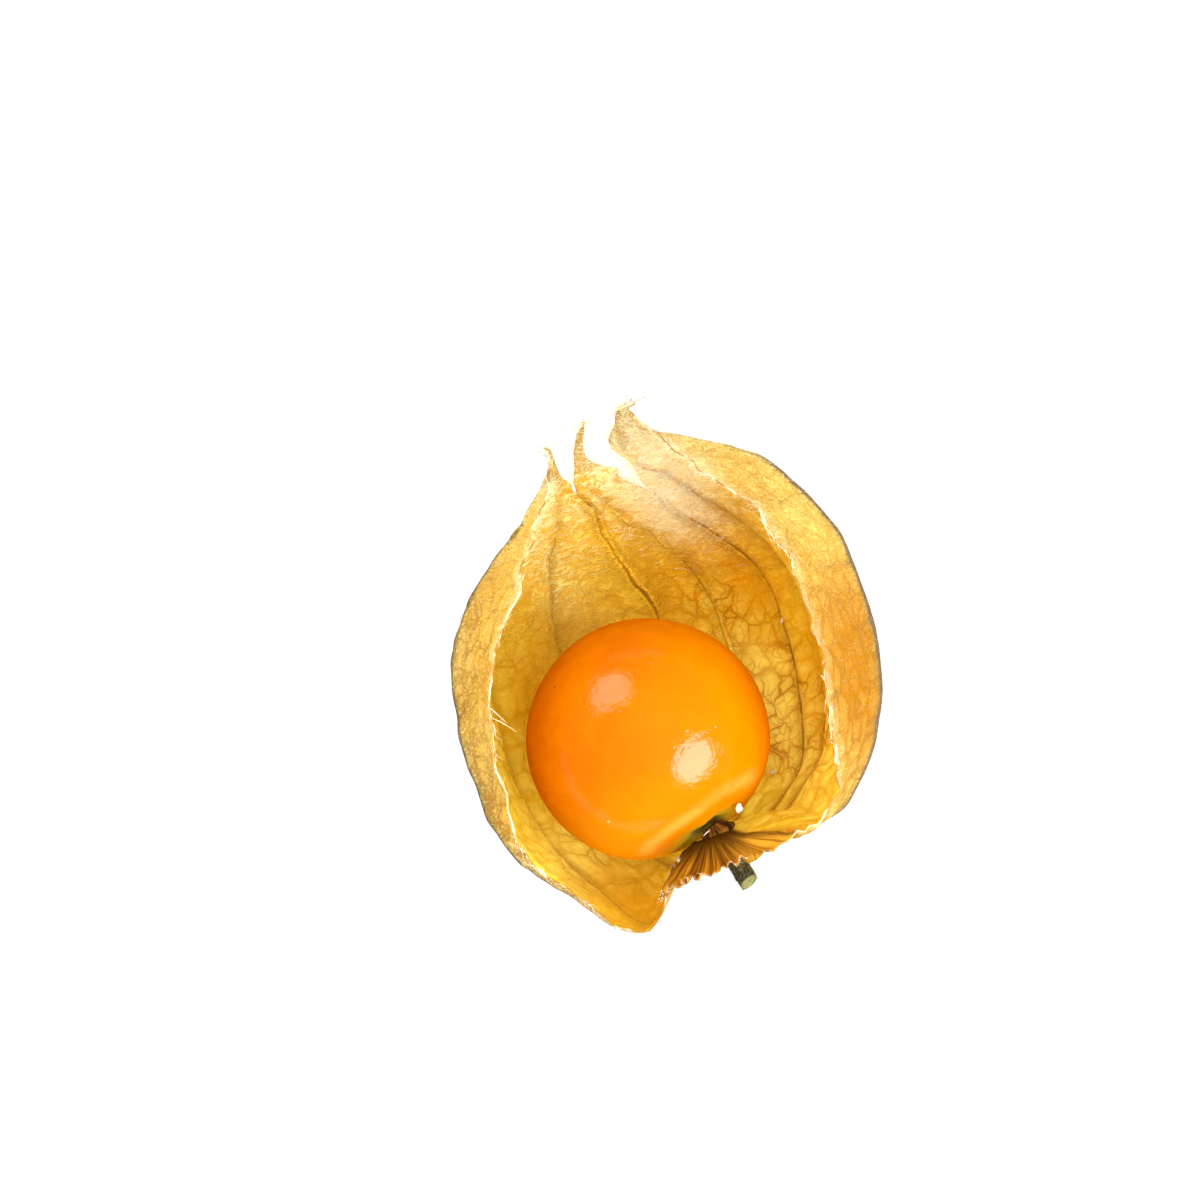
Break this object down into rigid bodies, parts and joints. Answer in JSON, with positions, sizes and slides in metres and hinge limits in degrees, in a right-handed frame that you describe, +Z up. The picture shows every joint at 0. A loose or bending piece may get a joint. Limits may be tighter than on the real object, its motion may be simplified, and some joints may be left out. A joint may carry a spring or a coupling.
{
  "type": "physalis berry in an open husk",
  "caption": "Round glossy berry lying in its dry, papery husk, which is torn open along the top and ends in drawn-out tips, with a short stub of stalk.",
  "frame": {"origin": "middle of the bounding box in plan, on the surface that the husk lies on", "axes": "+Y along the husk from the stalk to its tips, +X to the right seen from above with the tips ahead, +Z up through the torn-open side"},
  "size_m": [0.0328, 0.0386, 0.0213],
  "materials": {
    "berry": "smooth, taut, glossy orange fruit skin with faint pores",
    "husk": "dry, thin, translucent straw-gold calyx with a net of fine brown veins and fuzzy grey-purple ribs",
    "stalk": "matt olive-brown, finely hairy, pale green where it is cut"
  },
  "bodies": {
    "root": {"berry": "berry", "husk": "husk", "stalk": "stalk"}
  },
  "joints": []
}
